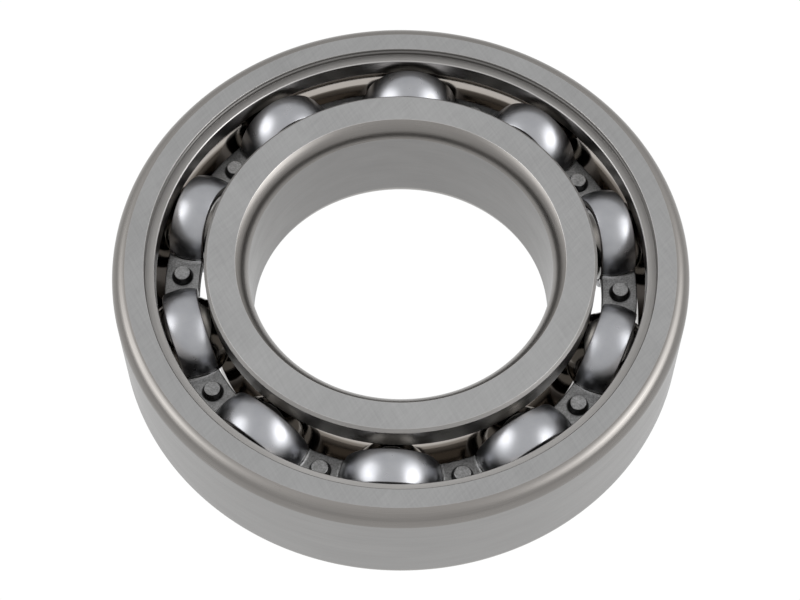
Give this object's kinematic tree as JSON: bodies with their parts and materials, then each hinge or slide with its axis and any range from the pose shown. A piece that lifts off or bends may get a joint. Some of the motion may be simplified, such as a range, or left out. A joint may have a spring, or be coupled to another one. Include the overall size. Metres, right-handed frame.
{
  "type": "deep groove ball bearing",
  "caption": "Open single-row deep groove ball bearing: grooved inner and outer rings with polished balls spaced by a riveted pressed-steel ribbon cage, to carry a turning shaft in a housing.",
  "frame": {"origin": "centre of the lower side face, on the bearing axis", "axes": "+Z along the bearing axis, from the lower side face to the upper one; the rings are round about it"},
  "size_m": [0.085, 0.085, 0.019],
  "materials": {
    "ring_steel": "fine ground, rounded corners slightly darker",
    "ball_steel": "mirror polished",
    "cage_steel": "pressed sheet, polished pockets and satin grainy pads",
    "rivet_steel": "satin, flattened heads"
  },
  "bodies": {
    "outer": {"outer_ring": "ring_steel"},
    "inner": {"inner_ring": "ring_steel"},
    "cage": {"cage_upper_half": "cage_steel", "cage_lower_half": "cage_steel", "rivet_01": "rivet_steel", "rivet_02": "rivet_steel", "rivet_03": "rivet_steel", "rivet_04": "rivet_steel", "rivet_05": "rivet_steel", "rivet_06": "rivet_steel", "rivet_07": "rivet_steel", "rivet_08": "rivet_steel", "rivet_09": "rivet_steel", "rivet_10": "rivet_steel"},
    "ball_01": {"ball_01": "ball_steel"},
    "ball_02": {"ball_02": "ball_steel"},
    "ball_03": {"ball_03": "ball_steel"},
    "ball_04": {"ball_04": "ball_steel"},
    "ball_05": {"ball_05": "ball_steel"},
    "ball_06": {"ball_06": "ball_steel"},
    "ball_07": {"ball_07": "ball_steel"},
    "ball_08": {"ball_08": "ball_steel"},
    "ball_09": {"ball_09": "ball_steel"},
    "ball_10": {"ball_10": "ball_steel"}
  },
  "joints": [
    {"name": "inner_ring_spin", "type": "hinge", "parent": "outer", "child": "inner", "pos_m": [0, 0, 0.0095], "axis": [0, 0, 1], "continuous": true},
    {"name": "cage_orbit", "type": "hinge", "parent": "outer", "child": "cage", "pos_m": [0, 0, 0.0095], "axis": [0, 0, 1], "continuous": true},
    {"name": "ball_01_spin", "type": "hinge", "parent": "cage", "child": "ball_01", "pos_m": [0.00142, 0.03247, 0.0095], "axis": [0, 0, 1], "continuous": true},
    {"name": "ball_02_spin", "type": "hinge", "parent": "cage", "child": "ball_02", "pos_m": [-0.01794, 0.0271, 0.0095], "axis": [0, 0, 1], "continuous": true},
    {"name": "ball_03_spin", "type": "hinge", "parent": "cage", "child": "ball_03", "pos_m": [-0.03044, 0.01138, 0.0095], "axis": [0, 0, 1], "continuous": true},
    {"name": "ball_04_spin", "type": "hinge", "parent": "cage", "child": "ball_04", "pos_m": [-0.03132, -0.00869, 0.0095], "axis": [0, 0, 1], "continuous": true},
    {"name": "ball_05_spin", "type": "hinge", "parent": "cage", "child": "ball_05", "pos_m": [-0.02023, -0.02543, 0.0095], "axis": [0, 0, 1], "continuous": true},
    {"name": "ball_06_spin", "type": "hinge", "parent": "cage", "child": "ball_06", "pos_m": [-0.00142, -0.03247, 0.0095], "axis": [0, 0, 1], "continuous": true},
    {"name": "ball_07_spin", "type": "hinge", "parent": "cage", "child": "ball_07", "pos_m": [0.01794, -0.0271, 0.0095], "axis": [0, 0, 1], "continuous": true},
    {"name": "ball_08_spin", "type": "hinge", "parent": "cage", "child": "ball_08", "pos_m": [0.03044, -0.01138, 0.0095], "axis": [0, 0, 1], "continuous": true},
    {"name": "ball_09_spin", "type": "hinge", "parent": "cage", "child": "ball_09", "pos_m": [0.03132, 0.00869, 0.0095], "axis": [0, 0, 1], "continuous": true},
    {"name": "ball_10_spin", "type": "hinge", "parent": "cage", "child": "ball_10", "pos_m": [0.02023, 0.02543, 0.0095], "axis": [0, 0, 1], "continuous": true}
  ],
  "couplings": [
    {"joint": "cage_orbit", "follows": "inner_ring_spin", "ratio": 0.40231},
    {"joint": "ball_01_spin", "follows": "inner_ring_spin", "ratio": -2.4614},
    {"joint": "ball_02_spin", "follows": "inner_ring_spin", "ratio": -2.4614},
    {"joint": "ball_03_spin", "follows": "inner_ring_spin", "ratio": -2.4614},
    {"joint": "ball_04_spin", "follows": "inner_ring_spin", "ratio": -2.4614},
    {"joint": "ball_05_spin", "follows": "inner_ring_spin", "ratio": -2.4614},
    {"joint": "ball_06_spin", "follows": "inner_ring_spin", "ratio": -2.4614},
    {"joint": "ball_07_spin", "follows": "inner_ring_spin", "ratio": -2.4614},
    {"joint": "ball_08_spin", "follows": "inner_ring_spin", "ratio": -2.4614},
    {"joint": "ball_09_spin", "follows": "inner_ring_spin", "ratio": -2.4614},
    {"joint": "ball_10_spin", "follows": "inner_ring_spin", "ratio": -2.4614}
  ]
}
